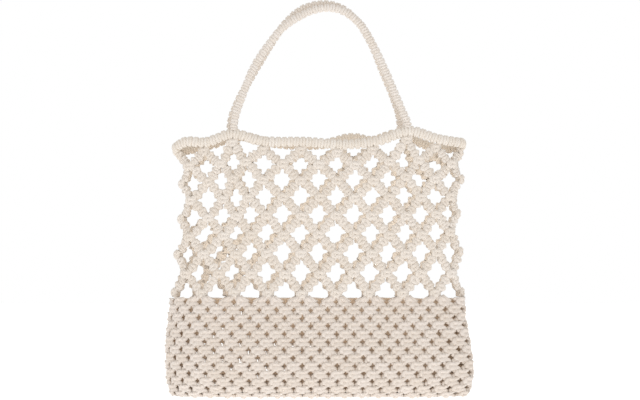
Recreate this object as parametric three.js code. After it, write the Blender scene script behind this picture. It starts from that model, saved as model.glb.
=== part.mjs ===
// Macrame beach bag: a hollow tote of knotted cotton cord, hung by its two rope handles.
// Millimetres, +Z up, the front faces -Y. The origin lies under the crown of the handles,
// where a hand, a hook or a peg carries the bag.
import * as THREE from "three";

// Driving sizes
const wall = 9.5; // a square knot from its front to its back
const seat = 0.3; // gap between pieces that touch
const hang = 1.4; // gap between the wavy rim and the straight top edges of the net
const rimTall = 12;
const rimThick = 10;
const rimLevel = -163; // mean height of the rim's centre line
const strapDiameter = 9;
const crownZ = 4.5; // centre line of the front handle at its crown
const crownY = 5.2; // each handle stands this far from the middle at its crown
const foldPower = 3; // plan of the bag: |x/a|^3 + (y/b)^2 = 1, flat faces with round folds

// The columns of net knots, counted from the centre of a face towards its folds
const foldColumn = 4.5;
const backColumn = 2 * foldColumn; // column of the back face's centre
const columnPitch = 45; // width of a column at the centre of a face
const columnLoss = 9; // how much narrower it is at a fold
const evenFrom = -278; // the columns even out below this height
const evenTo = -361;
const typicalReach = 175; // to the folds and to the faces, for measuring along the wall
const typicalDepth = 29;

// Counts of samples and facets
const shareSteps = 300;
const shareCrowding = 2.5; // the samples crowd towards the fold
const rimSamples = 240;
const rimSteps = 72;
const rimSides = 12;
const strapSteps = 44;
const strapHalfSides = 5;
const baseSteps = 48;

// Outside of the bag at each height: distance to the left and right fold and half depth
const outline = [
  { z: -150, left: 186.5, right: 183.0, depth: 31.0 },
  { z: -176, left: 183.0, right: 184.0, depth: 31.5 },
  { z: -210, left: 181.0, right: 184.0, depth: 33.0 },
  { z: -256, left: 180.5, right: 177.5, depth: 34.0 },
  { z: -301, left: 182.0, right: 181.5, depth: 34.5 },
  { z: -349, left: 185.5, right: 182.0, depth: 34.5 },
  { z: -385, left: 190.0, right: 184.0, depth: 34.5 },
  { z: -410, left: 193.0, right: 189.0, depth: 34.0 },
  { z: -440, left: 192.5, right: 193.0, depth: 32.0 },
  { z: -455, left: 192.0, right: 193.0, depth: 29.5 },
  { z: -465, left: 190.5, right: 191.0, depth: 26.0 },
  { z: -473, left: 188.0, right: 188.5, depth: 20.5 },
  { z: -478, left: 184.5, right: 185.0, depth: 13.5 },
  { z: -481, left: 180.0, right: 180.5, depth: 5.0 },
];

// Centre line of the rim along each face, from the left fold to the right fold
const rimFront = [
  { x: -186, z: -175 },
  { x: -168, z: -163 },
  { x: -142, z: -163.5 },
  { x: -107, z: -153 },
  { x: -75, z: -161.5 },
  { x: -20, z: -163 },
  { x: 38, z: -166 },
  { x: 72, z: -162 },
  { x: 112, z: -149.5 },
  { x: 146, z: -159 },
  { x: 184, z: -165 },
];
const rimBack = [
  { x: -186, z: -175 },
  { x: -160, z: -171 },
  { x: -136, z: -165 },
  { x: -103, z: -154.5 },
  { x: -66, z: -162 },
  { x: 8, z: -164 },
  { x: 43, z: -156.5 },
  { x: 64, z: -160.5 },
  { x: 101, z: -151.5 },
  { x: 130, z: -164 },
  { x: 156, z: -171 },
  { x: 184, z: -165 },
];

// Heights of the rows of net knots, from under the rim to the top of the base
const netRows = [
  { row: -0.08, z: rimLevel - rimTall / 2 - hang },
  { row: 1, z: -191 },
  { row: 2, z: -210.5 },
  { row: 3, z: -232 },
  { row: 4, z: -254.5 },
  { row: 5, z: -278 },
  { row: 6, z: -301.5 },
  { row: 7, z: -326.5 },
  { row: 8, z: -350.5 },
  { row: 8.5, z: -361 },
];
const lastRow = 8;
const liftRows = 4; // the waves of the rim fade out over this many rows

// Places where both faces hang out of line: each draws the net in towards it and pushes it across and up
const pulls = [
  { x: -108, z: -200, reachX: 45, reachZ: 45, drawnIn: 0.24, pushX: 0, pushZ: 0 },
  { x: -180, z: -240, reachX: 55, reachZ: 55, drawnIn: 0, pushX: 0, pushZ: -5 },
  { x: -125, z: -285, reachX: 45, reachZ: 45, drawnIn: 0, pushX: 8, pushZ: 0 },
  { x: 142, z: -195, reachX: 35, reachZ: 35, drawnIn: 0, pushX: -8.5, pushZ: 0 },
  { x: 172, z: -270, reachX: 35, reachZ: 40, drawnIn: 0, pushX: -3, pushZ: 3.5 },
];

// The back net hangs slack: a little wider and up to the left, with two more such places
const backSpread = 1.02;
const backMiddle = -235; // height about which it spreads
const backShift = { x: -2.5, z: 3 };
const backEdge = 182; // the slack ends at this distance to the side
const backEase = 8; // the higher, the closer to that edge the slack begins to fade
const backPulls = [
  { x: -120, z: -290, reachX: 45, reachZ: 45, drawnIn: 0, pushX: -9, pushZ: 0 },
  { x: 118, z: -186, reachX: 34, reachZ: 34, drawnIn: 0, pushX: -9, pushZ: -5 },
];

// Right-hand corners of a net crossing, top to bottom, in columns and rows from its middle
const crossing = [
  { column: 0.04, row: -0.48 },
  { column: 0.24, row: -0.08 },
  { column: 0.24, row: 0.08 },
  { column: 0.04, row: 0.48 },
];
const crossingTop = crossing.slice(1);
const crossingBottom = [...crossing.slice(0, 3), { column: 0.35, row: 0.5 }];

// Heights of the base's courses and of the floor inside it
const baseHeights = [-361.3, -385, -410, -428, -442, -455, -465, -473, -478, -481];
const floorZ = -469;

// Routes of the handles from the left foot to the right foot, clear of the feet
const handleFront = {
  face: -1,
  feet: { left: -106, right: 109 },
  route: [
    { x: -103, z: -130 },
    { x: -94, z: -105 },
    { x: -83.5, z: -75 },
    { x: -66, z: -45 },
    { x: -41, z: -16.5 },
    { x: -22, z: -4.5 },
    { x: -2, z: 3.4 },
    { x: 13, z: crownZ },
    { x: 28, z: 1.2 },
    { x: 47, z: -12 },
    { x: 67.5, z: -44 },
    { x: 82, z: -75 },
    { x: 94.5, z: -105 },
    { x: 105, z: -130 },
  ],
};
const handleBack = {
  face: 1,
  feet: { left: -112.5, right: 102 },
  route: [
    { x: -109, z: -130 },
    { x: -98, z: -105 },
    { x: -81, z: -75 },
    { x: -64.5, z: -45 },
    { x: -41, z: -12 },
    { x: -22, z: 3.5 },
    { x: -2, z: 9.8 },
    { x: 15, z: 9.4 },
    { x: 28, z: 4.8 },
    { x: 47, z: -11 },
    { x: 67, z: -43 },
    { x: 80, z: -75 },
    { x: 92.5, z: -105 },
    { x: 100.5, z: -130 },
  ],
};

// Straight-line reading of a table whose rows run along one of its columns
function read(table, along, at, column) {
  const rising = table[table.length - 1][along] > table[0][along];
  const before = (row) => (rising ? row[along] <= at : row[along] >= at);
  const reached = table.filter(before).length;
  const lower = THREE.MathUtils.clamp(reached - 1, 0, table.length - 2);
  const [p, q] = [table[lower], table[lower + 1]];
  const share = (at - p[along]) / (q[along] - p[along]);
  return p[column] + (q[column] - p[column]) * share;
}

// Height of the rim's centre line over x on a face: -1 is the front, 1 the back
const rimCurves = {
  "-1": new THREE.SplineCurve(rimFront.map((p) => new THREE.Vector2(p.x, p.z))),
  1: new THREE.SplineCurve(rimBack.map((p) => new THREE.Vector2(p.x, p.z))),
};
const rimTables = Object.fromEntries(
  Object.entries(rimCurves).map(([face, curve]) => [face, curve.getPoints(rimSamples)]),
);
function rimHeight(x, face) {
  return read(rimTables[face], "x", x, "y");
}

// Share of the half width over the share of the way along the wall from a face's centre to its fold
function shareTable() {
  const rows = [{ way: 0, share: 0 }];
  let last = { share: 0, depth: 1 };
  for (let step = 1; step <= shareSteps; step++) {
    const share = 1 - (1 - step / shareSteps) ** shareCrowding;
    const depth = Math.sqrt(1 - share ** foldPower);
    const stride = Math.hypot((share - last.share) * typicalReach, (depth - last.depth) * typicalDepth);
    rows.push({ way: rows[step - 1].way + stride, share });
    last = { share, depth };
  }
  return rows.map((row) => ({ way: row.way / rows[shareSteps].way, share: row.share }));
}
const shares = shareTable();

// Share of the half width at which a column stands: columns crowd at the folds, but not in the base
function columnShare(across, z) {
  const far = Math.abs(across);
  const whole = columnPitch * foldColumn - (columnLoss * foldColumn) / 3;
  const crowded = (columnPitch * far - (columnLoss * far ** 3) / (3 * foldColumn ** 2)) / whole;
  const evenness = THREE.MathUtils.smoothstep(-z, -evenFrom, -evenTo);
  const way = THREE.MathUtils.lerp(crowded, far / foldColumn, evenness);
  return Math.sign(across) * read(shares, "way", way, "share");
}

// A point of the wall at a share of the half width, so far in from its outside
function wallPoint(share, face, z, inset) {
  const reach = read(outline, "z", z, share < 0 ? "left" : "right");
  const depth = read(outline, "z", z, "depth");
  const x = reach * share;
  const y = face * depth * Math.sqrt(Math.max(0, 1 - Math.abs(share) ** foldPower));
  const slopeX = (foldPower * Math.sign(share) * share ** 2) / reach;
  const outward = new THREE.Vector2(slopeX, (2 * y) / depth ** 2).normalize();
  return new THREE.Vector3(x - outward.x * inset, y - outward.y * inset, z);
}

// A wall made of an outer skin, its copy on the inside, and hems round every open edge
class KnottedWall {
  constructor(place) {
    this.place = place;
    this.numbers = new Map();
    this.points = [];
    this.sheets = [];
  }

  corner(column, row) {
    const key = `${column.toFixed(4)} ${row.toFixed(4)}`;
    if (!this.numbers.has(key)) {
      this.numbers.set(key, this.points.length / 2);
      this.points.push(this.place(column, row, 0), this.place(column, row, 1));
    }
    return this.numbers.get(key);
  }

  // Adds a polygon of the outer skin, anticlockwise as seen from outside
  sheet(corners) {
    const numbers = corners.map((c) => this.corner(c.column, c.row));
    this.sheets.push(numbers.filter((n, i) => numbers.indexOf(n) === i));
  }

  geometry() {
    const index = [];
    const edges = new Set();
    for (const sheet of this.sheets) {
      sheet.forEach((a, i) => edges.add(`${a} ${sheet[(i + 1) % sheet.length]}`));
      for (let i = 1; i < sheet.length - 1; i++) {
        const [a, b, c] = [sheet[0], sheet[i], sheet[i + 1]];
        index.push(2 * a, 2 * b, 2 * c, 2 * a + 1, 2 * c + 1, 2 * b + 1);
      }
    }
    for (const edge of edges) {
      const [a, b] = edge.split(" ").map(Number);
      if (edges.has(`${b} ${a}`)) continue;
      index.push(2 * a, 2 * a + 1, 2 * b + 1, 2 * a, 2 * b + 1, 2 * b);
    }
    return new THREE.BufferGeometry().setFromPoints(this.points).setIndex(index);
  }
}

// Moves a point of the net by a table of pulls, as far as the given share of them
function pullBy(table, point, part) {
  for (const pull of table) {
    const away = Math.hypot((point.x - pull.x) / pull.reachX, (point.z - pull.z) / pull.reachZ);
    const share = part * Math.exp(-away * away);
    point.x += share * (pull.drawnIn * (pull.x - point.x) + pull.pushX);
    point.z += share * pull.pushZ;
  }
}

// A corner of the net on the outside (layer 0) or the inside (layer 1) of its wall
function netCorner(face) {
  return (column, row, layer) => {
    const across = face < 0 ? column : backColumn - column;
    const level = read(netRows, "row", row, "z");
    const share = columnShare(across, level);
    const point = wallPoint(share, face, level, layer * wall);
    const middle = wallPoint(share, face, level, wall / 2);
    const fade = Math.max(0, 1 - (row - netRows[0].row) / liftRows) ** 2;
    const hung = middle.clone();
    if (face > 0) {
      const inFace = 1 - Math.min(1, Math.abs(hung.x) / backEdge) ** backEase;
      const slack = inFace * (1 - fade) * THREE.MathUtils.clamp(lastRow - row, 0, 1);
      hung.x += slack * ((backSpread - 1) * hung.x + backShift.x);
      hung.z += slack * ((backSpread - 1) * (hung.z - backMiddle) + backShift.z);
      pullBy(backPulls, hung, slack);
    }
    pullBy(pulls, hung, 1);
    point.x += hung.x - middle.x;
    point.z += hung.z - middle.z + fade * (rimHeight(hung.x, face) - rimLevel);
    point.y = face * Math.max(face * point.y, seat / 2);
    return point;
  };
}

const mirrored = (corners) => corners.map((c) => ({ column: -c.column, row: c.row }));

// Outline of a crossing: whole, or the half that one face keeps at a fold
function crossingOutline(right, keep) {
  const [top, bottom] = [right[0].row, right[right.length - 1].row];
  const cut = [
    { column: 0, row: top },
    { column: 0, row: bottom },
  ];
  const leftSide = keep === "right" ? cut : mirrored(right);
  const rightSide = keep === "left" ? cut : right;
  return [...[...rightSide].reverse(), ...leftSide];
}

// One face of the net: crossings joined by slanting legs, with a diamond gap between each four
function netFace(face) {
  const centre = face < 0 ? 0 : backColumn;
  const panel = new KnottedWall(netCorner(face));
  const add = (column, row, corners) =>
    panel.sheet(corners.map((c) => ({ column: column + c.column, row: row + c.row })));
  const legRight = [crossing[3], { column: 0.26, row: 0.92 }, { column: 0.46, row: 0.52 }, crossing[2]];
  const legLeft = mirrored(legRight).reverse();
  for (let row = 0; row <= lastRow; row++) {
    const reach = row % 2 ? foldColumn - 0.5 : foldColumn;
    const right = row === 0 ? crossingTop : row === lastRow ? crossingBottom : crossing;
    for (let across = -reach; across <= reach; across++) {
      const atLeft = across === -foldColumn;
      const atRight = across === foldColumn;
      add(centre + across, row, crossingOutline(right, atLeft ? "right" : atRight ? "left" : "both"));
      if (row < lastRow && !atRight) add(centre + across, row, legRight);
      if (row < lastRow && !atLeft) add(centre + across, row, legLeft);
    }
  }
  return panel.geometry();
}

// The dense base: a pouch with round folds, closed along its bottom
function basePouch() {
  const [top, bottom] = [baseHeights[0], baseHeights[baseHeights.length - 1]];
  const inside = (z) => top + ((z - top) * (floorZ - top)) / (bottom - top);
  const place = (step, course, layer) => {
    const angle = (step / baseSteps) * 2 * Math.PI;
    const z = layer ? inside(baseHeights[course]) : baseHeights[course];
    const face = step <= baseSteps / 2 ? -1 : 1;
    const share = -Math.cos(angle);
    return wallPoint(Math.sign(share) * Math.abs(share) ** (2 / foldPower), face, z, layer * wall);
  };
  const pouch = new KnottedWall((step, course, layer) => place(step, course, layer));
  const last = baseHeights.length - 1;
  const at = (step, course) => ({ column: step % baseSteps, row: course });
  for (let step = 0; step < baseSteps; step++)
    for (let course = 0; course < last; course++)
      pouch.sheet([at(step, course + 1), at(step + 1, course + 1), at(step + 1, course), at(step, course)]);
  for (let step = 0; step < baseSteps / 2; step++) {
    const [behind, behindNext] = [baseSteps - step, baseSteps - step - 1];
    pouch.sheet([at(behind, last), at(behindNext, last), at(step + 1, last), at(step, last)]);
  }
  return pouch.geometry();
}

// The rim: one closed rope round the mouth, an ellipse carried along the wavy edge
function rimRope() {
  const points = [];
  const index = [];
  for (let step = 0; step < rimSteps; step++) {
    const angle = (step / rimSteps) * 2 * Math.PI;
    const share = -Math.cos(angle);
    const face = step <= rimSteps / 2 ? -1 : 1;
    const across = Math.sign(share) * Math.abs(share) ** (2 / foldPower);
    const middle = wallPoint(across, face, rimLevel, wall / 2);
    const outside = wallPoint(across, face, rimLevel, 0);
    const outward = outside.sub(middle).normalize();
    middle.z = rimHeight(middle.x, face);
    for (let side = 0; side < rimSides; side++) {
      const turn = (side / rimSides) * 2 * Math.PI;
      const point = middle.clone().addScaledVector(outward, (rimThick / 2) * Math.cos(turn));
      point.z += (rimTall / 2) * Math.sin(turn);
      points.push(point);
      const next = ((step + 1) % rimSteps) * rimSides;
      const [a, b] = [step * rimSides + side, step * rimSides + ((side + 1) % rimSides)];
      const [c, d] = [next + side, next + ((side + 1) % rimSides)];
      index.push(a, c, d, a, d, b);
    }
  }
  return new THREE.BufferGeometry().setFromPoints(points).setIndex(index);
}

// A handle: a rope that stands on the rim at both feet and leans in towards the other handle
function handleRope({ face, feet, route }) {
  const foot = (x) => {
    const across = x / read(outline, "z", rimLevel, x < 0 ? "left" : "right");
    const footY = wallPoint(across, face, rimLevel, wall / 2).y;
    const edges = [x - strapDiameter / 2, x, x + strapDiameter / 2];
    const ground = Math.max(...edges.map((edge) => rimHeight(edge, face)));
    return new THREE.Vector3(x, footY, ground + rimTall / 2 + seat);
  };
  const [left, right] = [foot(feet.left), foot(feet.right)];
  const lean = (z) => {
    const share = THREE.MathUtils.clamp((crownZ - z) / (crownZ - left.z), 0, 1);
    return THREE.MathUtils.lerp(face * crownY, left.y, share);
  };
  const rise = (p) => new THREE.Vector3(p.x, p.y, p.z + strapDiameter / 2);
  const free = route.map((p) => new THREE.Vector3(p.x, lean(p.z), p.z));
  const path = new THREE.CatmullRomCurve3([left, rise(left), ...free, rise(right), right]);
  const section = new THREE.Shape().absarc(0, 0, strapDiameter / 2, 0, 2 * Math.PI);
  return new THREE.ExtrudeGeometry(section, {
    steps: strapSteps,
    curveSegments: strapHalfSides,
    extrudePath: path,
  });
}

const bag = new THREE.Group();
function piece(name, geometry, colour) {
  const cotton = new THREE.MeshStandardMaterial({ color: colour, roughness: 0.95, metalness: 0 });
  const mesh = new THREE.Mesh(geometry, cotton);
  mesh.name = name;
  bag.add(mesh);
}
piece("handle_front", handleRope(handleFront), 0xe9dfd4);
piece("handle_back", handleRope(handleBack), 0xe6dbcf);
piece("rim", rimRope(), 0xe8ddd1);
piece("net_front", netFace(-1), 0xe8ddd0);
piece("net_back", netFace(1), 0xe3d7c8);
piece("base", basePouch(), 0xe6dacd);

export default bag;
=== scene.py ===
import math
import bpy
import numpy as np
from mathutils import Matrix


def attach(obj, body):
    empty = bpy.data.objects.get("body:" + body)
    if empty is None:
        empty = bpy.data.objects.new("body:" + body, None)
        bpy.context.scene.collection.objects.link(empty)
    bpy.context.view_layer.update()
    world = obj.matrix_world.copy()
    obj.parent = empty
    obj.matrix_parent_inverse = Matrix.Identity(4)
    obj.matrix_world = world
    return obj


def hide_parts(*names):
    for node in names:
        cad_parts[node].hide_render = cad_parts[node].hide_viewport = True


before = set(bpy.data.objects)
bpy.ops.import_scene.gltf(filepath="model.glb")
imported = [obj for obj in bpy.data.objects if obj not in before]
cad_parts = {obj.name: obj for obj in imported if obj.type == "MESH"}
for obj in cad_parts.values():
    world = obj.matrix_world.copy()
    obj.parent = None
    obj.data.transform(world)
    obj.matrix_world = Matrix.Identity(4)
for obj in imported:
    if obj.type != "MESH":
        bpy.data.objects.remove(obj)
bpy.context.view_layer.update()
rng = np.random.default_rng(7)
mm = 0.001

# All shapes are worked out in millimetres and put into the meshes in metres.
# A column is counted round the bag: 0 at the front centre, 4.5 at the right fold, 9 at the back centre.
bag = {
    "wall": 9.5,  # thickness of a square knot
    "foldPower": 3.0,  # plan of the bag: |x/a|^3 + (y/b)^2 = 1
    "foldColumn": 4.5,
    "columnPitch": 45.0,  # width of a column at the centre of a face
    "columnLoss": 9.0,  # how much narrower it is at a fold
    "evenFrom": -278.0,  # below this height the columns even out
    "evenTo": -361.0,
    "usualReach": 175.0,  # half width and half depth by which the way along the wall is measured
    "usualDepth": 29.0,
    "backFrom": 3.5,  # from this column on the wall begins to count as the back
    "backOver": 2.0,  # and does so fully this many columns on
    "outline": [  # height, reach to the left fold and to the right fold, half depth: outside of the bag
        (-150, 186.5, 183.0, 31.0),
        (-176, 183.0, 184.0, 31.5),
        (-210, 181.0, 184.0, 33.0),
        (-256, 180.5, 180.0, 34.0),
        (-301, 184.0, 182.0, 34.5),
        (-349, 185.5, 182.0, 34.5),
        (-385, 190.0, 184.0, 34.5),
        (-410, 193.0, 189.0, 34.0),
        (-440, 192.5, 193.0, 32.0),
        (-455, 192.0, 193.0, 29.5),
        (-465, 190.5, 191.0, 26.0),
        (-473, 188.0, 188.5, 20.5),
        (-478, 184.5, 185.0, 13.5),
        (-481, 180.0, 180.5, 5.0),
    ],
}


def unit(v):  # vectors of length one
    return v / np.maximum(np.linalg.norm(v, axis=-1, keepdims=True), 1e-9)


def smoothStep(f):  # 3 f^2 - 2 f^3 for f from 0 to 1
    f = np.clip(f, 0, 1)
    return 3 * f**2 - 2 * f**3


def smoothPath(points, count):  # cubic Hermite curve through the points, sampled evenly by chord length
    p = np.array(points, float)
    chord = np.r_[0, np.cumsum(np.linalg.norm(np.diff(p, axis=0), axis=1))]
    slope = np.gradient(p, chord, axis=0)
    at = np.linspace(0, chord[-1], count)
    i = np.clip(np.searchsorted(chord, at, side="right") - 1, 0, len(p) - 2)
    span = (chord[i + 1] - chord[i])[:, None]
    f = (at - chord[i])[:, None] / span
    return (
        p[i] * (2 * f**3 - 3 * f**2 + 1)
        + p[i + 1] * (3 * f**2 - 2 * f**3)
        + slope[i] * span * (f**3 - 2 * f**2 + f)
        + slope[i + 1] * span * (f**3 - f**2)
    )


def gridQuads(rows, columns, closedRows=False):  # quads of a grid whose columns close on themselves
    r = np.arange(rows if closedRows else rows - 1)[:, None]
    c = np.arange(columns)[None, :]
    r2 = (r + 1) % rows
    c2 = (c + 1) % columns
    corners = [r * columns + c, r * columns + c2, r2 * columns + c2, r2 * columns + c]
    return np.stack(np.broadcast_arrays(*corners), -1).reshape(-1, 4)


def gridUvs(rows, columns, length, closedRows=False):  # length along the cord in mm, turns around it
    r = np.arange(rows if closedRows else rows - 1)[:, None]
    c = np.arange(columns)[None, :]
    step = length / (rows if closedRows else rows - 1)
    along = [r, r, r + 1, r + 1]
    around = [c, c + 1, c + 1, c]
    u = np.stack(np.broadcast_arrays(*[a + 0 * c for a in along]), -1) * step
    v = np.stack(np.broadcast_arrays(*[a + 0 * r for a in around]), -1) / columns
    return np.stack([u, v], -1).reshape(-1, 4, 2)


def cordTube(path, radius, sides, press):
    # a circle carried along a path, its start side kept by parallel transport, pressed by a factor
    # on each axis
    tangent = unit(np.gradient(path, axis=0))
    side = np.zeros_like(path)
    side[0] = unit(np.cross(tangent[0], [0.31, 0.22, 0.92]))  # any direction off the path will do
    for i in range(1, len(path)):
        side[i] = unit(side[i - 1] - tangent[i] * np.dot(side[i - 1], tangent[i]))
    over = np.cross(tangent, side)
    angle = np.arange(sides) / sides * 2 * math.pi
    ring = side[:, None] * np.cos(angle)[None, :, None] + over[:, None] * np.sin(angle)[None, :, None]
    length = np.linalg.norm(np.diff(path, axis=0), axis=1).sum()
    thickness = np.broadcast_to(radius, len(path))[:, None, None]
    verts = (path[:, None] + ring * thickness * np.array(press)).reshape(-1, 3)
    return verts, gridQuads(len(path), sides), gridUvs(len(path), sides, length)


def gather(parts):  # joins (verts, quads, uvs) parts into one
    verts, quads, uvs = [], [], []
    start = 0
    for v, q, t in parts:
        verts.append(v)
        quads.append(q + start)
        uvs.append(t)
        start += len(v)
    return np.concatenate(verts), np.concatenate(quads), np.concatenate(uvs)


def repeat(template, placed):  # one template's quads for each placed copy of its points
    verts, quads, uvs = template
    count = len(placed)
    start = np.arange(count)[:, None, None] * len(verts)
    return (
        placed.reshape(-1, 3),
        (quads[None] + start).reshape(-1, 4),
        np.tile(uvs, (count, 1, 1)),
    )


def addPiece(name, shape, material, node, tone, inside):
    verts, quads, uvs = shape
    mesh = bpy.data.meshes.new(name)
    mesh.vertices.add(len(verts))
    mesh.vertices.foreach_set("co", (verts * mm).astype(np.float32).ravel())
    mesh.loops.add(quads.size)
    mesh.loops.foreach_set("vertex_index", quads.astype(np.int32).ravel())
    mesh.polygons.add(len(quads))
    mesh.polygons.foreach_set("loop_start", np.arange(0, quads.size, 4, dtype=np.int32))
    mesh.polygons.foreach_set("use_smooth", np.ones(len(quads), dtype=bool))
    layer = mesh.uv_layers.new(name="cord")
    layer.data.foreach_set("uv", uvs.astype(np.float32).ravel())
    for label, values in (("tone", tone), ("inside", inside)):
        attribute = mesh.attributes.new(label, "FLOAT", "POINT")
        attribute.data.foreach_set("value", values.astype(np.float32))
    mesh.update(calc_edges=True)
    mesh.validate()
    piece = bpy.data.objects.new(name, mesh)
    bpy.context.collection.objects.link(piece)
    mesh.materials.append(material)
    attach(piece, "root")
    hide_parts(node)
    print(name, len(quads) * 2, "triangles")


# Shader maths: a Link stands for a socket, and an expression on Links adds Math nodes
class Link:
    def __init__(self, tree, socket):
        self.tree = tree
        self.socket = socket

    def node(self, kind, settings=None, inputs=None, output=0):
        made = self.tree.nodes.new(kind)
        for key, value in (settings or {}).items():
            setattr(made, key, value)
        for key, value in (inputs or {}).items():
            if isinstance(value, Link):
                self.tree.links.new(value.socket, made.inputs[key])
            else:
                made.inputs[key].default_value = value
        return Link(self.tree, made.outputs[output])

    def math(self, operation, *values):
        return self.node("ShaderNodeMath", {"operation": operation}, dict(enumerate(values)))

    def mixColour(self, factor, a, b):
        return self.node(
            "ShaderNodeMix", {"data_type": "RGBA"}, {0: factor, 6: a, 7: b}, output=2
        )

    def __add__(self, other):
        return self.math("ADD", self, other)

    def __radd__(self, other):
        return self.math("ADD", other, self)

    def __sub__(self, other):
        return self.math("SUBTRACT", self, other)

    def __rsub__(self, other):
        return self.math("SUBTRACT", other, self)

    def __mul__(self, other):
        return self.math("MULTIPLY", self, other)

    def __rmul__(self, other):
        return self.math("MULTIPLY", other, self)

    def __pow__(self, other):
        return self.math("POWER", self, other)


cotton = {
    "pale": (0.90, 0.82, 0.735),
    "deep": (0.78, 0.665, 0.535),
    "plies": 3.0,
    "plyLength": 3.4,  # mm along the cord from one ply to the next
    "plyDepth": 0.0001,  # metres, as the bump takes it
    # how much darker the ply grooves are painted: painted shade
    "plyGrooveShade": 0.45,
    "fibreScale": 1400.0,
    "fibreDepth": 0.00005,
    "fibreTone": 0.12,
    "patchScale": 55.0,
    "patchTone": 0.35,
    # random tone of each knot, and the painted shade of the rope under the wraps
    "knotToneAndCoreShade": 0.3,
    "usualTone": 0.24,  # taken off, so that the mean cord is close to the pale tone
    "bump": 0.7,
    "roughness": 0.92,
    "sheen": 0.3,
    "specular": 0.2,
    "shadeFrom": 2.0,  # mm out from the middle of a knot where the painted shade of the sheltered side begins
    "shadeOver": 4.0,  # and how far further in it is full
}


def cottonCord(name, tint, inner):
    # twisted cotton: ply grooves |sin| that wind round the cord and are painted darker as painted shade,
    # fibres, an uneven tone, and a warmer painted shade on the sheltered side
    material = bpy.data.materials.new(name)
    material.use_nodes = True
    tree = material.node_tree
    shader = tree.nodes["Principled BSDF"]
    start = Link(tree, None)
    uv = start.node("ShaderNodeUVMap", {"uv_map": "cord"})
    along, around = [start.node("ShaderNodeSeparateXYZ", {}, {0: uv}, output=i) for i in (0, 1)]
    place = start.node("ShaderNodeTexCoord", output="Object")
    tone = start.node("ShaderNodeAttribute", {"attribute_name": "tone"}, output="Fac")
    inside = start.node("ShaderNodeAttribute", {"attribute_name": "inside"}, output="Fac")
    turn = (around * cotton["plies"] + along * (1 / cotton["plyLength"])) * math.pi
    ply = start.math("ABSOLUTE", start.math("SINE", turn))
    fibreGrain = {"Vector": place, "Scale": cotton["fibreScale"], "Detail": 3.0}
    patchGrain = {"Vector": place, "Scale": cotton["patchScale"], "Detail": 2.0}
    fibres = start.node("ShaderNodeTexNoise", {}, fibreGrain)
    patches = start.node("ShaderNodeTexNoise", {}, patchGrain)
    # painted shade: the ply grooves lean towards the deep tone; fibres, patches and each knot's tone vary
    # at random
    depth = (1 - ply) ** 3.0 * cotton["plyGrooveShade"] + (1 - fibres) * cotton["fibreTone"]
    depth = depth + (1 - patches) * cotton["patchTone"] + tone * cotton["knotToneAndCoreShade"] - cotton["usualTone"]
    tones = (cotton["pale"], cotton["deep"], inner)
    shades = [tuple(c * t for c, t in zip(colour, tint)) + (1.0,) for colour in tones]
    outer = start.mixColour(depth, shades[0], shades[1])
    # painted shade: the sheltered side takes the warmer shade colour
    colour = start.mixColour(inside, outer, shades[2])
    tree.links.new(colour.socket, shader.inputs["Base Color"])
    height = ply * cotton["plyDepth"] + fibres * cotton["fibreDepth"]
    bump = start.node("ShaderNodeBump", {}, {"Height": height, "Strength": cotton["bump"], "Distance": 1.0})
    tree.links.new(bump.socket, shader.inputs["Normal"])
    shader.inputs["Roughness"].default_value = cotton["roughness"]
    shader.inputs["Sheen Weight"].default_value = cotton["sheen"]
    shader.inputs["Specular IOR Level"].default_value = cotton["specular"]
    return material


# Tint of the cord on each piece, and the warmer colour painted as shade on its sheltered inner side
handleCotton = cottonCord("handleCotton", (0.90, 0.93, 0.98), (0.84, 0.73, 0.61))
rimCotton = cottonCord("rimCotton", (0.905, 0.935, 0.97), (0.87, 0.745, 0.605))
netCotton = cottonCord("netCotton", (0.895, 0.915, 0.945), (0.97, 0.86, 0.725))
baseCotton = cottonCord("baseCotton", (0.865, 0.87, 0.90), (0.74, 0.585, 0.425))

outline = np.array(bag["outline"])[::-1]


def outlineAt(z, column):  # a column of the outline at a height
    return np.interp(z, outline[:, 0], outline[:, column])


# Share of the half width over the share of the way along the wall from a face's centre to its fold
shareSteps = 1 - (1 - np.linspace(0, 1, 3000)) ** 2.5  # closer together near the fold
shareDepths = np.sqrt(1 - shareSteps ** bag["foldPower"])
stepsAcross = np.diff(shareSteps) * bag["usualReach"]
stepsBack = np.diff(shareDepths) * bag["usualDepth"]
shareWay = np.r_[0, np.cumsum(np.hypot(stepsAcross, stepsBack))]
shareWay /= shareWay[-1]


def bodyPoint(column, z, depth):  # middle of the wall: |x/a|^3 + (y/b)^2 = 1 at each height
    fold = bag["foldColumn"]
    column = (column + fold) % (4 * fold) - fold
    behind = column > fold
    across = np.where(behind, 2 * fold - column, column)
    pitch, loss = bag["columnPitch"], bag["columnLoss"]
    crowded = (pitch * across - loss * across**3 / (3 * fold**2)) / (pitch * fold - loss * fold / 3)
    even = across / fold
    evened = smoothStep((z - bag["evenFrom"]) / (bag["evenTo"] - bag["evenFrom"]))
    way = crowded + (even - crowded) * evened
    share = np.sign(way) * np.interp(np.abs(way), shareWay, shareSteps)
    reach = np.where(share < 0, outlineAt(z, 1), outlineAt(z, 2)) - bag["wall"] / 2
    y = depth * np.sqrt(np.maximum(0, 1 - np.abs(share) ** bag["foldPower"]))
    return np.stack(np.broadcast_arrays(reach * share, np.where(behind, y, -y), z), -1)


def backShare(column):  # 0 on the front, rising to 1 on the back across the folds
    half = 2 * bag["foldColumn"]
    fromFront = np.abs((column + half) % (2 * half) - half)
    return smoothStep((fromFront - bag["backFrom"]) / bag["backOver"])


def netPoint(column, z):  # middle of the net's wall
    return bodyPoint(column, z, outlineAt(z, 3) - bag["wall"] / 2)


def outwards(pointAt, column, along, stepColumn, stepAlong):  # normal of the wall from its two tangents
    across = pointAt(column + stepColumn, along) - pointAt(column - stepColumn, along)
    down = pointAt(column, along + stepAlong) - pointAt(column, along - stepAlong)
    return unit(np.cross(down, across))


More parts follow.
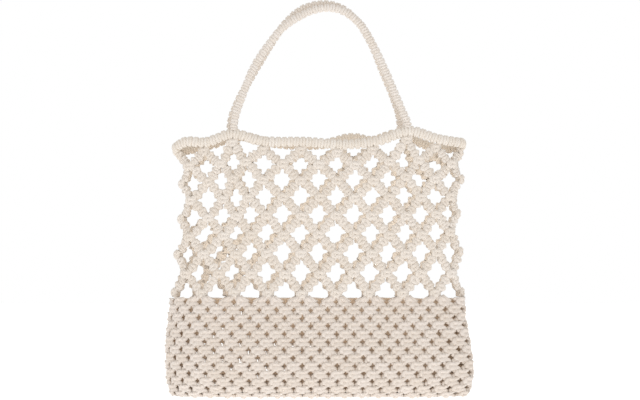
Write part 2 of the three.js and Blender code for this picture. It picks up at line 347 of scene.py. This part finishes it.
# A square knot of four strands: share of the width, of the half height downwards, and of the lift outwards.
# The first and last two points of the outer strands fan out towards the next knots.
squareKnot = {
    "over": [  # the strand that makes both bars
        (-1.50, -1.00, 0.00), (-1.50, -0.72, 0.05), (-1.42, -0.58, 0.20), (-0.98, -0.56, 0.44),
        (-0.40, -0.51, 0.92), (0.40, -0.42, 0.92), (1.00, -0.35, 0.60), (1.50, -0.22, 0.28),
        (1.64, 0.00, 0.20), (1.50, 0.22, 0.28), (1.00, 0.35, 0.60), (0.40, 0.42, 0.92),
        (-0.40, 0.51, 0.92), (-0.98, 0.56, 0.42), (-1.42, 0.58, 0.16), (-1.50, 0.72, 0.05),
        (-1.50, 1.00, 0.00),
    ],
    "under": [  # the strand that holds them and shows as an upright at the left
        (1.50, -1.00, 0.05), (1.50, -0.72, 0.22), (1.42, -0.44, 0.58), (1.18, -0.12, 0.10),
        (0.80, 0.00, -0.75), (0.00, 0.00, -0.92), (-0.80, -0.10, -0.75), (-1.12, -0.35, -0.05),
        (-1.42, -0.50, 0.60), (-1.70, -0.22, 0.80), (-1.72, 0.18, 0.82), (-1.48, 0.50, 0.64),
        (-1.14, 0.64, -0.05), (-0.80, 0.55, -0.75), (0.00, 0.50, -0.92), (0.80, 0.55, -0.75),
        (1.14, 0.45, 0.02), (1.40, 0.58, 0.52), (1.50, 0.76, 0.24), (1.50, 1.00, 0.05),
    ],
    "core": [(0.50, -1.00, 0.20), (0.50, -0.60, 0.42), (0.50, 0.60, 0.42), (0.50, 1.00, 0.20)],
    "endWidth": 1.50,  # where the outer strands leave, before they fan out
    "taperFrom": 0.5,  # share of the half height from which they thin out
}


def knotTemplate(knot, samples, sides):
    # tubes along the strands, pressed flat, the outer two fanned out to the knot's end width
    parts = []
    coreSamples = 4
    core = np.array(squareKnot["core"]) * [knot["core"][0], 1, knot["core"][1]]
    strands = [
        (np.array(squareKnot["over"]), samples),
        (np.array(squareKnot["under"]), samples + 4),  # the longer strand
        (core, coreSamples),
        (core * [-1, 1, 1], coreSamples),
    ]
    for strand, count in strands:
        points = strand * [knot["width"], -knot["halfHeight"], knot["lift"]]
        if count > coreSamples:
            fan = knot["ends"] - squareKnot["endWidth"] * knot["width"]
            points[[0, -1], 0] += np.sign(points[[0, -1], 0]) * fan
            points[[1, -2], 0] += np.sign(points[[1, -2], 0]) * fan * knot["fan"]
            for step, (away, along) in enumerate(knot["exit"]):
                ends = [step + 1, -step - 2]
                points[ends, 0] = np.sign(points[ends, 0]) * away
                points[ends, 1] = np.sign(points[ends, 1]) * along
        path = smoothPath(points, count)
        end = np.clip(np.abs(path[:, 1]) / knot["halfHeight"] / squareKnot["taperFrom"] - 1, 0, 1)
        parts.append(cordTube(path, knot["cord"] / 2 * (1 - knot["taper"] * end), sides, knot["press"]))
    return gather(parts)


def toneOf(count, size):  # one random tone for each copy
    return np.repeat(rng.uniform(0, 1, count), size)


def insideOf(template, count, most):  # painted shade: rises from 0 on a knot's outer side to the most on its inner side
    shadeShare = np.clip((cotton["shadeFrom"] - template[0][:, 2]) / cotton["shadeOver"], 0, 1)
    return np.tile(shadeShare * most, count)


# Dense base: rows of square knots, each row half a knot along from the last, round and under the pouch
base = {
    "knot": {
        "width": 3.08,
        "halfHeight": 4.95,
        "lift": 2.9,
        "ends": 8.85,  # how far from the middle the outer strands end
        "fan": 0.85,
        "cord": 4.6,
        "press": (1.26, 1.28, 0.88),  # across, up and out
        "core": (1.0, 1.0),
        "taper": 0.26,
        "exit": [(7.9, 3.3), (4.7, 2.6)],  # where the outer strands pass on their way out
    },
    "proud": 0.7,
    "rise": (2.1, 2.8),  # how far the strands rise where they cross to the next row, and where that starts
    "pit": (3.6, 1.1, 1.2),  # depth and reach of the small pit midway between two knots that are joined
    "inside": 1.0,  # how far the inner side takes the painted shade colour
    "lean": 0.03,  # chance lean and push of a knot
    "push": 0.25,
    "pushOut": 0.6,
    "topKnots": 8,  # this far from the centre the strands of the front's top knots run together
    "topFrom": 0.3,
    "topLean": 5.5,  # towards the crossing above them
    "topClose": 0.45,
    "topReach": 0.5,
    "backTurn": 0.31,  # the knots of the back lie rather more than half a knot along
    "backTop": 0.5,  # and its top row is half as high above its middle
    "knotsRound": 36,
    "knotPitch": 21.4,
    "rows": 14,
    "firstRow": 0.2,
    "seamIn": 2.5,  # the last row draws the two faces together along the bottom
    # share of that painted shade along the seam row
    "seamShade": 0.2,
    "seamDrop": 0.2,  # how steeply it goes down past the seam
    "rowPitch": 9.9,
    "profile": [  # half depth and height of the middle of the wall, from the net down to the bottom seam
        (29.75, -361), (29.75, -400), (28.5, -425), (26.5, -443), (23, -457),
        (18, -467.5), (11, -475), (4.5, -477.8), (2, -478),
    ],
}
profile = np.array(base["profile"], float)
profileWay = np.r_[0, np.cumsum(np.linalg.norm(np.diff(profile, axis=0), axis=1))]


def basePoint(column, way):  # the pouch's wall at a distance down its profile
    depth = np.interp(way, profileWay, profile[:, 0])
    z = np.interp(way, profileWay, profile[:, 1])
    z = z + np.clip(-way, 0, None) - np.clip(way - profileWay[-1], 0, None) * base["seamDrop"]
    return bodyPoint(column, z, depth)


baseKnot = knotTemplate(base["knot"], 24, 6)
row, knot = np.divmod(np.arange(base["rows"] * base["knotsRound"]), base["knotsRound"])
across = knot - base["knotsRound"] / 4 + 0.5 * (row % 2 == 0)
down = base["firstRow"] + row * base["rowPitch"]
lastRow = row == base["rows"] - 1
front = np.abs(across) <= base["knotsRound"] / 4
lean = rng.normal(0, base["lean"], len(row))
push = rng.normal(0, base["push"], (len(row), 3))
u, v, w = baseKnot[0].T  # views, so what w gains is in the template too
rise, riseFrom = base["rise"]
w += rise * np.clip((np.abs(v) - riseFrom) / (base["knot"]["halfHeight"] - riseFrom), 0, 1)
depth, reachU, reachV = base["pit"]
pitU = (np.abs(u) - base["knotPitch"] / 4) / reachU
pitV = (np.abs(v) - base["rowPitch"] / 2) / reachV
w -= depth * np.exp(-pitU**2 - pitV**2)
leans = (row == 0) & (np.abs(across) < base["topKnots"])
top = (v / base["knot"]["halfHeight"] - base["topFrom"]) / (1 - base["topFrom"])
top = np.clip(top, 0, 1) * leans[:, None]
toward = np.where(np.floor(across) % 2 == 0, 1, -1)[:, None]
topU = u * (1 - base["topClose"] * top) + toward * base["topLean"] * top
low = ((row == 0) & ~front)[:, None] & (v > 0)
topV = v * (1 + base["topReach"] * top) * np.where(low, base["backTop"], 1)
localU = topU + lean[:, None] * v + push[:, :1]
localV = topV - lean[:, None] * u + push[:, 1:2]
localW = w + push[:, 2:] * base["pushOut"] + base["proud"] - base["seamIn"] * lastRow[:, None]
columns = (across[:, None] + localU / base["knotPitch"]) / 2
columns = columns + base["backTurn"] * backShare(columns)
ways = down[:, None] - localV
points = basePoint(columns, ways) + outwards(basePoint, columns, ways, 0.02, 0.5) * localW[..., None]
for name, part in (("base_knots_front", front), ("base_knots_back", ~front)):
    tone = toneOf(part.sum(), len(u))
    # painted shade on each knot's sheltered side, weaker along the seam
    inside = insideOf(baseKnot, part.sum(), base["inside"])
    inside *= np.repeat(np.where(lastRow[part], base["seamShade"], 1.0), len(u))
    addPiece(name, repeat(baseKnot, points[part]), baseCotton, "base", tone, inside)

# Rim: the wavy edge along each face, from the left fold to the right fold
rim = {
    "level": -163.0,
    "steps": 1201,
    "tall": 12.0,
    "thick": 10.0,
    "cord": 4.0,
    "pitch": 3.8,
    "slant": 0.08,
    "together": 0.5,  # how far the two wraps of a pair lean together at the edges
    "lobe": 0.6,
    "pairGap": 0.12,
    "press": (0.98, 1.0),
    "fill": 0.3,  # how far the rope under the wraps fills the grooves between them
    # how far the inner side of the wraps takes the painted shade colour
    "inside": 0.7,
    "front": [
        (-186, -175), (-168, -163), (-142, -163.5), (-107, -153), (-75, -161.5), (-20, -163),
        (38, -166), (72, -162), (112, -149.5), (146, -159), (184, -165),
    ],
    "back": [
        (-186, -175), (-160, -171), (-136, -165), (-103, -154.5), (-66, -162), (8, -164),
        (43, -156.5), (64, -160.5), (101, -151.5), (130, -164), (156, -171), (184, -165),
    ],
}
rimLines = {side: smoothPath(rim[side], 400) for side in ("front", "back")}


def rimHeight(x, behind):  # height of the rim on the front or the back
    heights = [np.interp(x, line[:, 0], line[:, 1]) for line in rimLines.values()]
    return np.where(behind, heights[1], heights[0])


# Net: crossings of square knots, joined by slanting legs of smaller square knots
net = {
    "rows": [  # row and height
        (-0.08, -172.5), (1, -191), (2, -210.5), (3, -232), (4, -254.5), (5, -278),
        (6, -301.5), (7, -326.5), (8, -350.5), (8.5, -361),
    ],
    "columns": 18,
    "lastRow": 8,
    "liftRows": 4.0,  # the waves of the rim fade out over this many rows
    "crossing": {
        "width": 3.35,
        "halfHeight": 5.3,
        "lift": 3.0,
        "ends": 5.6,
        "fan": 0.5,
        "cord": 4.2,
        "press": (1.08, 1.22, 0.92),
        "core": (1.4, 1.4),
        "taper": 0.0,
        "exit": [],
    },
    "leg": {
        "width": 2.26,
        "halfHeight": 5.0,
        "lift": 2.8,
        "ends": 2.8,
        "fan": 0.8,
        "cord": 3.9,
        "press": (1.07, 1.14, 0.94),
        "core": (1.3, 1.0),
        "taper": 0.0,
        "exit": [],
    },
    # how far the inner side of the knots takes the painted shade colour
    "inside": 0.75,
    "scatter": 0.5,  # chance shift of a crossing
    "crossingLean": 0.1,
    "crossingOut": 1.0,
    "foldTurn": 0.4,  # the crossings on the folds face this far forwards
    "foldIn": 2.4,
    "foldScale": (0.7, 1.0, 1.3),  # and are round
    "foldLegs": 0.3,  # how much thicker the legs are there
    "topOut": -1.0,  # the top row tucks in under the rim
    "legKnots": 2,  # the knots of a leg
    "legOverlap": 1.08,  # and reach a little into each other
    "legScallop": 0.21,  # each knot of a leg bulges by this share
    "legClear": 5.0,  # the legs begin this far from the middle of a crossing
    "legApart": 1.3,  # and this far to its left or right
    "legScatter": 0.3,  # chance shift, size and lean of a leg's knot
    "legSize": 0.05,
    "legLean": 0.12,
    "backSpread": 1.02,  # the back net hangs a little wider and up to the left
    "backShift": (-3.8, 3.4),
    "backLevel": -235.0,  # it spreads up and down from this height
    "backFast": 182.0,  # and is held fast at this distance from the centre
    "pulls": [  # x, height, reach across and up, share drawn in towards x, push across and up: both faces
        (-108, -200, 45, 45, 0.24, 0, 0),
        (-180, -240, 55, 55, 0, 0, -5),
        (-142, -222, 32, 55, 0, 5, 0),
        (-125, -285, 45, 45, 0, 8, 0),
        (142, -195, 29, 35, 0, -8.5, 0),
        (172, -270, 35, 40, 0, -3, 3.5),
    ],
    "slack": [  # the same for the back face alone
        (-122, -314, 46, 34, 0, -12, 2),
        (-118, -230, 48, 42, 0, 6, -4),
        (118, -186, 34, 34, 0, -9, -5),
    ],
}
rowTable = np.array(net["rows"])
rowIndex, columnIndex = np.meshgrid(np.arange(net["lastRow"] + 1), np.arange(net["columns"]), indexing="ij")
crossColumn = columnIndex - bag["foldColumn"] + 0.5 * (rowIndex % 2)
crossZ = np.interp(rowIndex, rowTable[:, 0], rowTable[:, 1])
crossPoint = netPoint(crossColumn, crossZ)


def netWall(column, way):  # the net's wall at a distance below the origin
    return netPoint(column, -way)


crossOut = outwards(netWall, crossColumn, -crossZ, 0.02, 1.0)
onFold = np.abs(crossColumn) == bag["foldColumn"]
crossPoint -= crossOut * onFold[..., None] * net["foldIn"]
crossOut = unit(crossOut + onFold[..., None] * np.array([0, -net["foldTurn"], 0]))
behind = crossColumn > bag["foldColumn"]
fade = np.clip(1 - (rowIndex - rowTable[0, 0]) / net["liftRows"], 0, 1) ** 2
crossPoint[..., 2] += fade * (rimHeight(crossPoint[..., 0], behind) - rim["level"])
fromFold = 1 - (np.abs(crossPoint[..., 0]) / net["backFast"]).clip(0, 1) ** 8
loose = behind * fromFold * (1 - fade)
free = rowIndex < net["lastRow"]  # the last row keeps its height on the base
spread = net["backSpread"] - 1
shiftX, shiftZ = net["backShift"]
crossPoint[..., 0] += loose * (spread * crossPoint[..., 0] + fromFold * shiftX)
crossPoint[..., 2] += loose * free * (spread * (crossPoint[..., 2] - net["backLevel"]) + fromFold * shiftZ)
for table, part in (("pulls", 1.0), ("slack", loose * fromFold)):
    for x, z, reachX, reachZ, drawnIn, pushX, pushZ in net[table]:
        away = ((crossPoint[..., 0] - x) / reachX) ** 2 + ((crossPoint[..., 2] - z) / reachZ) ** 2
        near = part * np.exp(-away)
        crossPoint[..., 0] += near * (drawnIn * (x - crossPoint[..., 0]) + pushX)
        crossPoint[..., 2] += near * free * pushZ
crossPoint += rng.normal(0, net["scatter"], crossPoint.shape) * (rowIndex > 0)[..., None]


def placed(template, middle, up, out, scale):  # copies of a template on axes across, up and out
    side = np.cross(up, out)
    t = template[0][None] * scale[:, None, :]
    axes = np.stack([side, up, out], 1)
    return middle[:, None] + np.einsum("knj,kji->kni", t, axes)


def netPieces(part, middle, up, out, scale, template, isBack):
    points = placed(template, middle, up, out, scale)
    for side, chosen in (("front", ~isBack), ("back", isBack)):
        tone = toneOf(chosen.sum(), len(template[0]))
        shape = repeat(template, points[chosen])
        inside = insideOf(template, chosen.sum(), net["inside"])
        addPiece(f"net_{part}_{side}", shape, netCotton, f"net_{side}", tone, inside)


crossKnot = knotTemplate(net["crossing"], 22, 6)
middle = crossPoint.reshape(-1, 3)
out = crossOut.reshape(-1, 3)
up = unit(np.array([0, 0, 1.0]) - out * out[:, 2:])
lean = rng.normal(0, net["crossingLean"], len(middle))[:, None]
up = unit(up + lean * np.cross(up, out))
onBack = middle[:, 1] > 0
proud = np.where(rowIndex == 0, net["topOut"], net["crossingOut"]).reshape(-1, 1)
scale = np.where(onFold.reshape(-1, 1), net["foldScale"], 1.0)
netPieces("crossings", middle + out * proud, up, out, scale, crossKnot, onBack)

legKnot = knotTemplate(net["leg"], 20, 6)
halves = legKnot[0][:, 1] / net["leg"]["halfHeight"]
legKnot[0][:, 0] *= 1 + net["legScallop"] * np.cos(math.pi * halves)
starts, ends, startOut, endOut = [], [], [], []
for r in range(net["lastRow"]):
    n = np.arange(net["columns"])
    lower = [(n - 1) % net["columns"], n] if r % 2 == 0 else [n, (n + 1) % net["columns"]]
    for way, target in zip((-1, 1), lower):
        apart = np.cross([0, 0, 1.0], crossOut[r]) * way * net["legApart"]
        starts.append(crossPoint[r] + apart)
        ends.append(crossPoint[r + 1][target] - apart)
        startOut.append(crossOut[r])
        endOut.append(crossOut[r + 1][target])
starts, ends = np.concatenate(starts), np.concatenate(ends)
legOut = unit(np.concatenate(startOut) + np.concatenate(endOut))
reach = np.linalg.norm(ends - starts, axis=1)
legUp = unit(starts - ends)
legOut = unit(legOut - legUp * (legOut * legUp).sum(1, keepdims=True))
inRow = net["legKnots"]
half = (reach - 2 * net["legClear"]) / (2 * inRow)
middles = (starts + ends) / 2
steps = inRow - 1 - 2 * np.arange(inRow)
places = np.concatenate([middles + legUp * half[:, None] * step for step in steps])
places += rng.normal(0, net["legScatter"], places.shape)
stretch = half * net["legOverlap"] / net["leg"]["halfHeight"]
scale = np.tile(np.stack([np.ones_like(half), stretch, np.ones_like(half)], 1), (inRow, 1))
scale *= 1 + rng.normal(0, net["legSize"], scale.shape)
scale[:, 2] *= 1 + net["foldLegs"] * np.tile(np.abs(legOut[:, 0]), inRow)
legUp, legOut = np.tile(legUp, (inRow, 1)), np.tile(legOut, (inRow, 1))
lean = rng.normal(0, net["legLean"], len(places))[:, None]
turned = rng.choice([-1, 1], len(places))[:, None]  # some knots are tied the other way up
legUp = unit(legUp + lean * np.cross(legUp, legOut)) * turned
netPieces("legs", places, legUp, legOut, scale, legKnot, np.tile(middles[:, 1] > 0, inRow))


# Wraps of cord round the rope of the rim and of the handles
wrap = {
    "ringSteps": 16,
    "sides": 8,
    "coreSteps": 12,
    "lean": 0.05,  # chance lean and swelling of a wrap
    "swell": 0.15,
    # the rope under the wraps, seen in the grooves between them, is painted darker: painted shade
    "coreShade": 0.9,
    "shadeFrom": 0.5,  # cosine to the outer side at which the painted shade begins
}


def wrappedRope(path, out, rope, closed):
    # rings of cord round a rope, two by two: an ellipse across the path, slanted along it, with a
    # pressed round section; the two of a pair lean together along both edges and stand out there as a lobe
    step = np.linalg.norm(np.diff(path, axis=0), axis=1)
    way = np.r_[0, np.cumsum(step)]
    count = 2 * int(round(way[-1] / rope["pitch"] / 2))
    pairSide = np.where(np.arange(count) % 2, -1, 1)
    at = (np.arange(count) + 0.5) / count * way[-1] + pairSide * rope["pairGap"]
    tangent = unit(np.gradient(path, way, axis=0))

    def along(values, where):
        return np.stack([np.interp(where, way, values[:, i]) for i in range(3)], -1)

    centre, forward = along(path, at), unit(along(tangent, at))
    outward = along(out, at)
    outward = unit(outward - forward * (outward * forward).sum(1, keepdims=True))
    upward = np.cross(outward, forward)
    ringSteps, sides, coreSteps = wrap["ringSteps"], wrap["sides"], wrap["coreSteps"]
    turn = np.arange(ringSteps) / ringSteps * 2 * math.pi
    around = np.arange(sides) / sides * 2 * math.pi
    radial = outward[:, None] * np.cos(turn)[None, :, None] + upward[:, None] * np.sin(turn)[None, :, None]
    cord = rope["cord"]
    halfOut, halfUp = rope["thick"] / 2 - cord / 2, rope["tall"] / 2 - cord / 2
    lobe = np.abs(np.sin(turn)) ** 3
    lean = rope["slant"] + rng.normal(0, wrap["lean"], (count, 1))
    together = pairSide[:, None] * rope["together"]
    shift = lean * np.sin(turn) * halfUp + together * lobe
    swell = rng.normal(0, wrap["swell"], (count, 1)) + rope["lobe"] * lobe
    ringMiddle = (
        centre[:, None]
        + outward[:, None] * (np.cos(turn) * halfOut)[None, :, None]
        + upward[:, None] * (np.sin(turn) * halfUp)[None, :, None]
        + radial * swell[..., None]
        + forward[:, None] * shift[..., None]
    )
    tube = (
        ringMiddle[:, :, None]
        + radial[:, :, None] * (np.cos(around) * cord / 2 * rope["press"][0])[None, None, :, None]
        + forward[:, None, None] * (np.sin(around) * cord / 2 * rope["press"][1])[None, None, :, None]
    )
    template = (
        np.zeros((ringSteps * sides, 3)),
        gridQuads(ringSteps, sides, True)[:, ::-1],
        gridUvs(ringSteps, sides, 2 * math.pi * (halfOut + halfUp) / 2, True)[:, ::-1],
    )
    wraps = repeat(template, tube.reshape(count, -1, 3))
    coreTurn = np.arange(coreSteps) / coreSteps * 2 * math.pi
    fill = cord / 2 * rope["fill"]
    core = (
        centre[:, None]
        + outward[:, None] * (np.cos(coreTurn) * (halfOut + fill))[None, :, None]
        + upward[:, None] * (np.sin(coreTurn) * (halfUp + fill))[None, :, None]
    )
    coreShape = (
        core.reshape(-1, 3),
        gridQuads(count, coreSteps, closed)[:, ::-1],
        gridUvs(count, coreSteps, way[-1], closed)[:, ::-1],
    )
    # random tone for each wrap; the core and the sheltered side of wraps and core are painted darker as
    # shade
    tone = np.r_[toneOf(count, ringSteps * sides), np.full(count * coreSteps, wrap["coreShade"])]
    facing = [np.repeat(np.cos(turn), sides), np.cos(coreTurn)]
    shadeShare = [np.clip(wrap["shadeFrom"] - f, 0, 1) * rope["inside"] for f in facing]
    inside = np.concatenate([np.tile(s, count) for s in shadeShare])
    return gather([wraps, coreShape]), tone, inside


rimColumns = np.linspace(-bag["foldColumn"], 3 * bag["foldColumn"], rim["steps"])
rimLevel = np.full(rim["steps"], rim["level"])
rimPath = netPoint(rimColumns, rimLevel)
rimOut = outwards(netWall, rimColumns, -rimLevel, 0.02, 1.0)
rimPath[:, 2] = rimHeight(rimPath[:, 0], rimColumns > bag["foldColumn"])
shape, tone, inside = wrappedRope(rimPath, rimOut, rim, True)
addPiece("rim_wraps", shape, rimCotton, "rim", tone, inside)

# Handles: wrapped ropes that stand on the rim and lean together at the crown
handle = {
    "tall": 9.0,
    "thick": 8.4,
    "cord": 3.8,
    "pitch": 3.65,
    "slant": 0.15,
    "together": 0.35,
    "lobe": 0.7,
    "pairGap": 0.1,
    "press": (0.98, 1.0),
    "fill": 0.35,
    # how far the inner side of the wraps takes the painted shade colour
    "inside": 0.5,
    "steps": 500,
    "sunk": 2.0,  # how far a foot goes into the rim, and how far it then stands upright
    "stand": 5.0,
    "crownY": 5.2,
    "crownZ": 4.5,
    "front": {
        "feet": (-106, 109),
        "route": [
            (-104, -130), (-95.5, -105), (-84, -75), (-66, -45), (-41, -16.5), (-22, -4.5), (-2, 3.4),
            (13, 4.5), (28, 1.2), (47, -12), (67.5, -44), (82, -75), (94.5, -105), (105, -130),
        ],
    },
    "back": {
        "feet": (-112.5, 102),
        "route": [
            (-110, -130), (-99.5, -105), (-82.5, -75), (-64.5, -45), (-41, -12), (-22, 3.5), (-2, 9.8),
            (15, 9.4), (28, 4.8), (47, -11), (67, -43), (80, -75), (92.5, -105), (100.5, -130),
        ],
    },
}
frontRim = rimPath[: rim["steps"] // 2 + 1]
frontRim = frontRim[np.argsort(frontRim[:, 0])]
for side, face in (("front", -1), ("back", 1)):
    feet = np.array(handle[side]["feet"], float)
    footZ = rimHeight(feet, face > 0) + rim["tall"] / 2 - handle["sunk"]
    footY = np.interp(feet[0], frontRim[:, 0], np.abs(frontRim[:, 1]))
    route = np.array(
        [(feet[0], footZ[0]), (feet[0], footZ[0] + handle["stand"])]
        + handle[side]["route"]
        + [(feet[1], footZ[1] + handle["stand"]), (feet[1], footZ[1])]
    )
    share = np.clip((handle["crownZ"] - route[:, 1]) / (handle["crownZ"] - footZ[0]), 0, 1)
    y = face * (handle["crownY"] + (footY - handle["crownY"]) * share)
    path = smoothPath(np.stack([route[:, 0], y, route[:, 1]], 1), handle["steps"])
    out = np.tile([0.0, face, 0.0], (handle["steps"], 1))
    shape, tone, inside = wrappedRope(path, out, handle, False)
    addPiece(f"handle_{side}_wraps", shape, handleCotton, f"handle_{side}", tone, inside)

# Floor, light and camera
studio = {
    "floorZ": -512.0,
    "floorHalf": 3000.0,
    "floorTone": (0.95, 0.95, 0.95, 1.0),
    "floorRoughness": 0.9,
    "floorGlow": 0.5,
    "white": (1.0, 1.0, 1.0, 1.0),
    "world": 0.78,  # light from all around; the backdrop itself stays white
    "worldTone": (1.0, 0.98, 0.955, 1.0),  # light thrown back by the cotton warms the shade
    "frontPlace": (-0.3, -3.2, 0.2),  # lamps in metres
    "backPlace": (0.3, 3.2, 0.2),
    "lampTarget": (0, 0, -0.25),
    "lampWatts": 10.0,
    "lampSize": (0.8, 0.8),
    "insideZ": -0.32,
    "insideWatts": 0.062,  # what the cotton lets through into the hollow
    "insideSize": (0.32, 0.29),
    "focal": 120.0,
    "sensor": 36.0,
    "frameWidth": 640,
    "pixel": 1.25,  # millimetres of the bag to a pixel of the 640 by 400 frame
    "centreX": 0.6,
    "centreZ": -235.0,
}
floorHalf = studio["floorHalf"] * mm
floorMesh = bpy.data.meshes.new("floor")
corners = [(-1, -1), (1, -1), (1, 1), (-1, 1)]
floorVerts = [(x * floorHalf, y * floorHalf, studio["floorZ"] * mm) for x, y in corners]
floorMesh.from_pydata(floorVerts, [], [(0, 1, 2, 3)])
floor = bpy.data.objects.new("floor", floorMesh)
bpy.context.collection.objects.link(floor)
floorMaterial = bpy.data.materials.new("paleFloor")
floorMaterial.use_nodes = True
floorShader = floorMaterial.node_tree.nodes["Principled BSDF"]
floorShader.inputs["Base Color"].default_value = studio["floorTone"]
floorShader.inputs["Roughness"].default_value = studio["floorRoughness"]
floorShader.inputs["Emission Color"].default_value = studio["white"]
floorShader.inputs["Emission Strength"].default_value = studio["floorGlow"]
floorMesh.materials.append(floorMaterial)

world = bpy.data.worlds.new("studio")
bpy.context.scene.world = world
world.use_nodes = True
background = world.node_tree.nodes["Background"]
seen = Link(world.node_tree, None).node("ShaderNodeLightPath", output="Is Camera Ray")
strength = seen * (1 - studio["world"]) + studio["world"]
glow = seen.mixColour(seen, studio["worldTone"], studio["white"])
world.node_tree.links.new(strength.socket, background.inputs["Strength"])
world.node_tree.links.new(glow.socket, background.inputs["Color"])


def softLight(name, place, target, size, watts):
    data = bpy.data.lights.new(name, "AREA")
    data.energy = watts
    data.shape = "RECTANGLE"
    data.size, data.size_y = size
    lamp = bpy.data.objects.new(name, data)
    bpy.context.collection.objects.link(lamp)
    lamp.location = place
    lamp.visible_camera = False
    aim = np.array(target) - np.array(place)
    tilt = math.atan2(math.hypot(aim[0], aim[1]), -aim[2])
    lamp.rotation_euler = (tilt, 0, math.atan2(-aim[0], aim[1]))


for side in ("front", "back"):
    place = studio[f"{side}Place"]
    softLight(f"{side}Light", place, studio["lampTarget"], studio["lampSize"], studio["lampWatts"])
for side, face in (("Back", 1), ("Front", -1)):
    place, target = (0, 0, studio["insideZ"]), (0, face, studio["insideZ"])
    softLight(f"insideTo{side}", place, target, studio["insideSize"], studio["insideWatts"])

camera = bpy.data.cameras.new("camera")
camera.lens = studio["focal"]
camera.sensor_width = studio["sensor"]
distance = studio["focal"] * studio["frameWidth"] * studio["pixel"] / studio["sensor"]
cameraObject = bpy.data.objects.new("camera", camera)
bpy.context.collection.objects.link(cameraObject)
cameraObject.location = (studio["centreX"] * mm, -distance * mm, studio["centreZ"] * mm)
cameraObject.rotation_euler = (math.pi / 2, 0, 0)
camera.clip_end = 50
bpy.context.scene.camera = cameraObject
bpy.context.scene.view_settings.view_transform = "Standard"
print("stage set")
